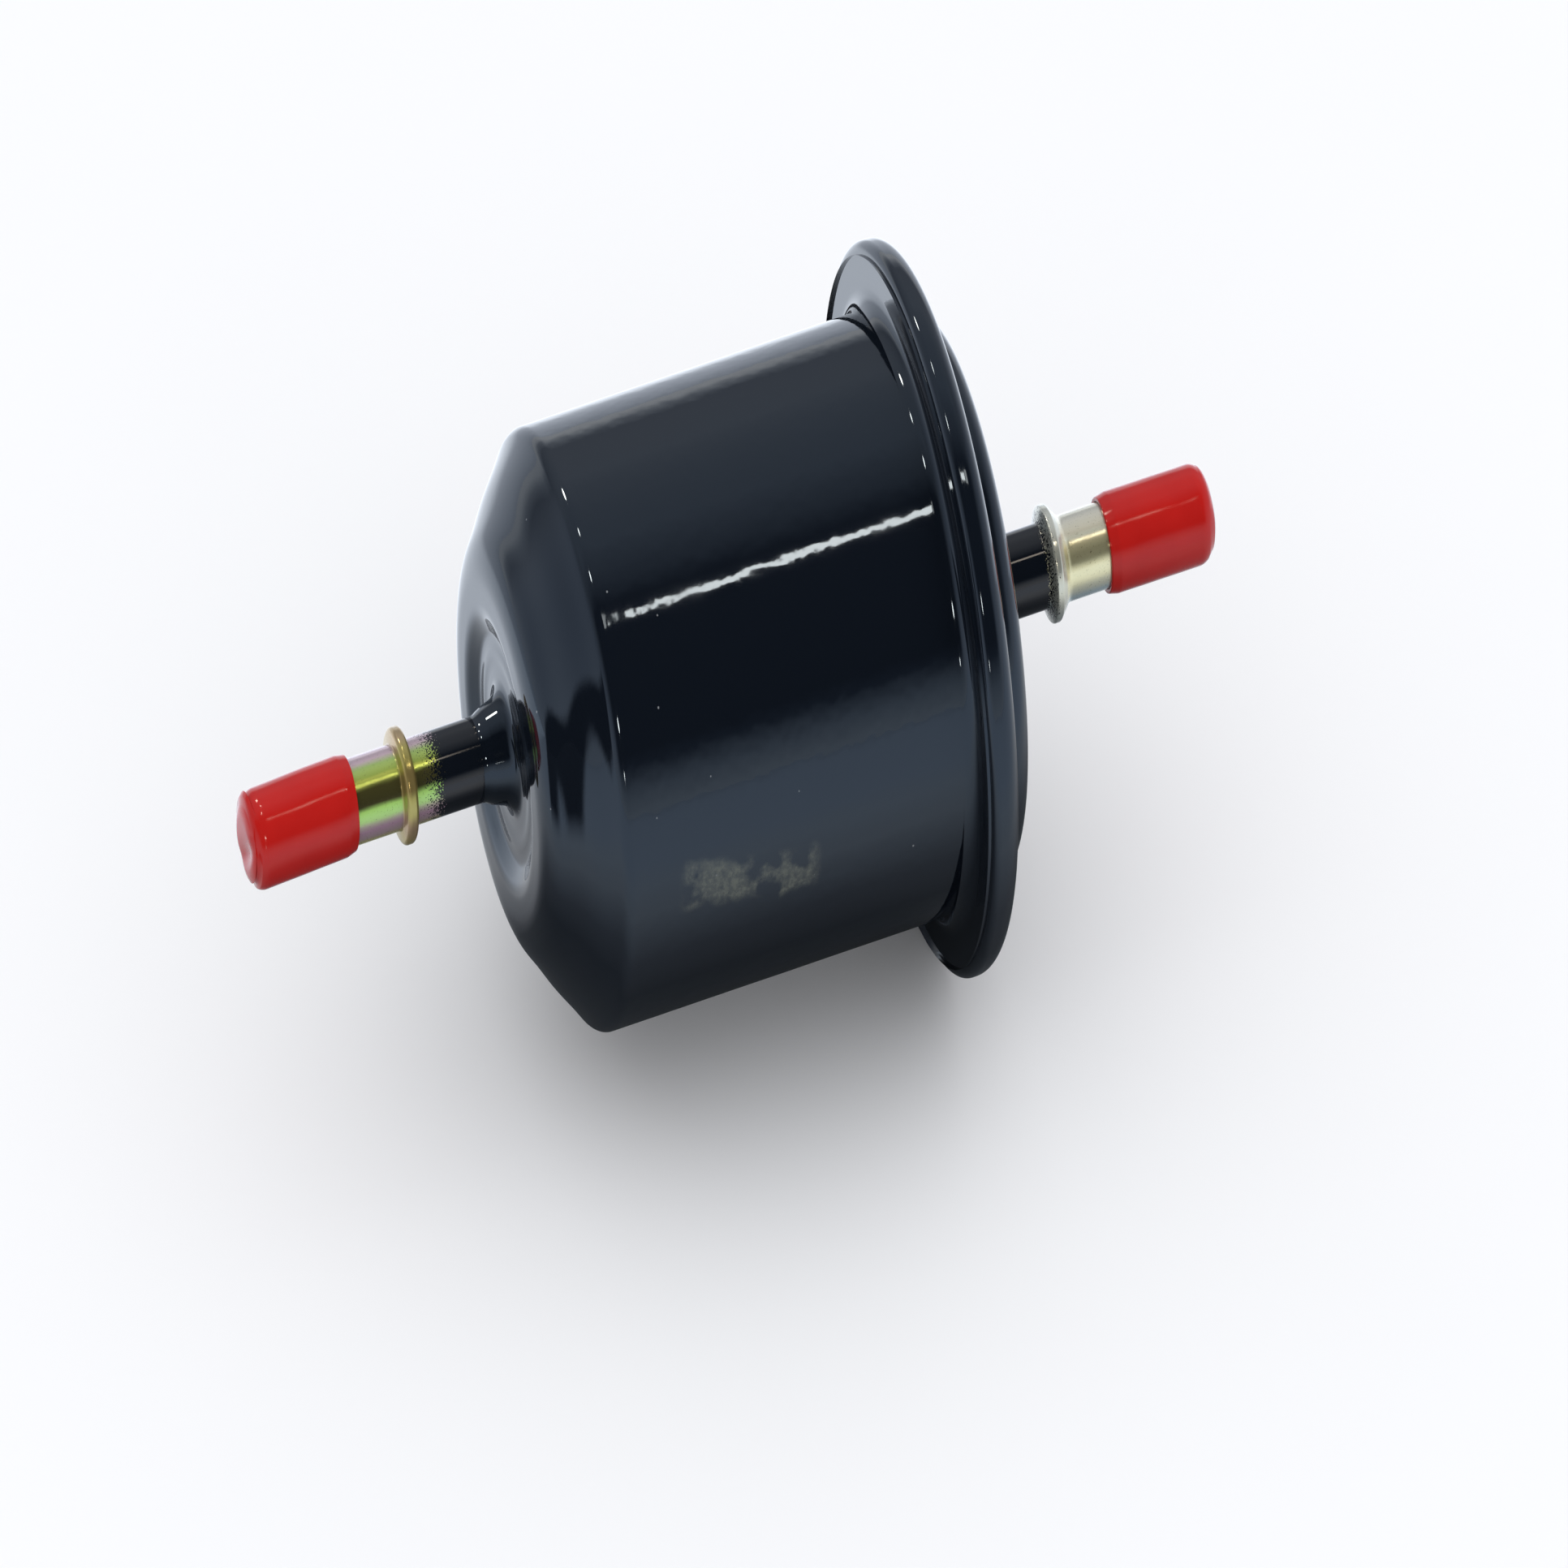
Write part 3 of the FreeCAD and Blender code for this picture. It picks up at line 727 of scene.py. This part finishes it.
def make_world():
    """White for the camera and soft light. Reflections see a room: bright low in front, dark
    overhead, grey behind, with a dark patch far to the left."""
    world = bpy.data.worlds.new("studio")
    bpy.context.scene.world = world
    world.use_nodes = True
    f = Nodes(world.node_tree)
    direction = f.add("TexCoord")["Generated"]
    split = f.add("SeparateXYZ", Vector=direction)
    rise = f.math("ARCTAN2", split["Z"], f.math("MULTIPLY", split["Y"], -1.0))
    stops = [
        (0.000, (0.92, 0.94, 0.97)),
        (0.050, (0.58, 0.61, 0.66)),
        (0.105, (0.05, 0.06, 0.08)),
        (0.130, ROOM_DARK),
        (0.450, ROOM_DARK),
        (0.500, (0.20, 0.21, 0.23)),
        (0.600, (0.44, 0.46, 0.50)),
        (0.800, (0.48, 0.50, 0.54)),
        (0.930, (0.26, 0.28, 0.32)),
        (0.960, (0.50, 0.53, 0.58)),
        (0.985, (0.95, 0.97, 1.00)),
    ]
    room = f.ramp(f.math("DIVIDE", rise, math.pi), stops)
    side = f.math("ABSOLUTE", split["X"])
    wall = f.smooth_span(side, 0.55, 0.85)
    stops = [(0.0, (0.85, 0.88, 0.95)), (0.35, (0.55, 0.58, 0.66)), (0.8, (0.2, 0.2, 0.2))]
    height = f.ramp(split["Z"], stops)
    room = f.mix(wall, room, height)
    left = (-0.985, -0.12, 0.02)
    away = f.add("VectorMath", {"operation": "SUBTRACT"}, i0=direction, i1=left)[0]
    oval = f.add("Mapping", Vector=away, Scale=(1.0, 1.0, 0.34))[0]
    reach = f.add("VectorMath", {"operation": "LENGTH"}, i0=oval)["Value"]
    patch = f.smooth_span(reach, 0.14, 0.08)
    room = f.mix(patch, room, (*ROOM_DARK, 1))
    ray = f.add("LightPath")
    colour = f.mix(ray["Is Glossy Ray"], (0.96, 0.965, 0.98, 1), room)
    background = f.tree.nodes["Background"]
    f.tree.links.new(colour, background.inputs["Color"])


def lamp(name, position, aim, width, height, radiance, glossy=True, diffuse=True, disk=False):
    """An area light of a stated radiance, hidden from the camera, its width along X."""
    light = bpy.data.lights.new(name, "AREA")
    light.shape = "ELLIPSE" if disk else "RECTANGLE"
    light.size, light.size_y = width, height
    area = width * height * (math.pi / 4 if disk else 1.0)
    light.energy = radiance * math.pi * area
    light.color = (1.0, 0.88, 0.74) if glossy else (1.0, 1.0, 1.0)  # warm where it is mirrored
    holder = bpy.data.objects.new(name, light)
    bpy.context.scene.collection.objects.link(holder)
    back = (position - aim).normalized()
    along = Vector((1, 0, 0))
    side = (along - back * along.dot(back)).normalized()
    turn = Matrix((side, back.cross(side), back)).transposed()
    holder.matrix_world = Matrix.Translation(position) @ turn.to_4x4()
    holder.visible_camera = False
    holder.visible_glossy = glossy
    holder.visible_diffuse = diffuse


def make_camera():
    """A level camera above the front left. Its picture is drawn taller than life, like the reference."""
    stretch = 1.5
    azimuth, elevation = math.radians(-19.9), math.radians(39.1)
    right = Vector((math.cos(azimuth), math.sin(azimuth), 0))
    flat_back = Vector((math.sin(azimuth), -math.cos(azimuth), 0))
    back = flat_back * math.cos(elevation) + Vector((0, 0, math.sin(elevation)))
    up = back.cross(right)
    target = right * (8.6 * MM) - up * (11.9 * MM)
    distance = 1.0
    data = bpy.data.cameras.new("camera")
    data.type = "ORTHO"
    data.ortho_scale = 251.2 * MM
    data.clip_start, data.clip_end = 0.01, 10.0
    camera = bpy.data.objects.new("camera", data)
    mount = bpy.data.objects.new("camera_mount", None)
    for o in (camera, mount):
        bpy.context.scene.collection.objects.link(o)
    # a unit vertical axis that leans back: its share along up is 1 / stretch
    tall = up / stretch + back * math.sqrt(1 - 1 / stretch**2)
    oblique = Matrix((right, tall, back)).transposed().to_4x4()
    camera.parent = mount
    camera.matrix_parent_inverse = Matrix.Translation(target + back * distance) @ oblique
    bpy.context.scene.camera = camera


def toward(angle_from_camera, distance, x=0.0):
    """A place on the can's wall, and one that it mirrors at an angle above the camera."""
    along, aside = 0.264, 0.964  # the camera's direction along the axis and square to it
    half = CAMERA_RISE + math.radians(angle_from_camera) / 2
    whole = CAMERA_RISE + math.radians(angle_from_camera)
    foot = around(x, BODY_RADIUS, half)
    ray = Vector((along, -aside * math.cos(whole), aside * math.sin(whole)))
    return foot, foot + ray * distance


# name, angle above the camera's direction, lean along X, size in metres
GLINTS = [
    ("glint_back", 92, -0.15, 0.10),
    ("glint_high", 72, 0.0, 0.07),
    ("glint_top", 52, -0.1, 0.08),
    ("glint_front", -5, -0.2, 0.09),
    ("glint_low", -24, -0.25, 0.05),
]


def make_lights():
    """A soft key from above, a strip mirrored along the wall, one for each pipe, and glints."""
    centre = Vector((0, 0, 0))
    lamp("key", Vector((0.0, -0.25, 1.3)), centre, 2.2, 2.2, 0.35, glossy=False)
    strip_rise, strip_distance = 34.6, 0.45
    foot, spot = toward(strip_rise, strip_distance, 6.5)
    lamp("strip", spot, foot, 0.058, 0.020, 17.0, diffuse=False)
    for name, x in (("strip_inlet", -62.0), ("strip_outlet", 62.0)):
        foot, spot = toward(strip_rise, strip_distance, x)
        lamp(name, spot, foot, 0.040, 0.036, 5.0, diffuse=False)
    # small lamps to the left, seen only as glints in bends
    for name, turn, lean, size in GLINTS:
        angle = CAMERA_RISE + math.radians(turn)
        ray = Vector((lean, -math.cos(angle), math.sin(angle))).normalized()
        lamp(name, ray * 0.9, centre, size, size, 30.0, diffuse=False, disk=True)


def set_colours():
    view = bpy.context.scene.view_settings
    view.view_transform = "Standard"
    view.look = "None"


make_can()
make_cover()
make_braze("inlet_braze_ring", -1)
make_braze("outlet_braze_ring", 1)
make_pipes()
red = vinyl()
make_cap("inlet_dust_cap", "inlet_cap", 0.55, 0.6, red)
make_cap("outlet_dust_cap", "outlet_cap", 0.1, -0.15, red)
finish_hidden_nodes()
make_floor()
make_world()
make_camera()
make_lights()
set_colours()
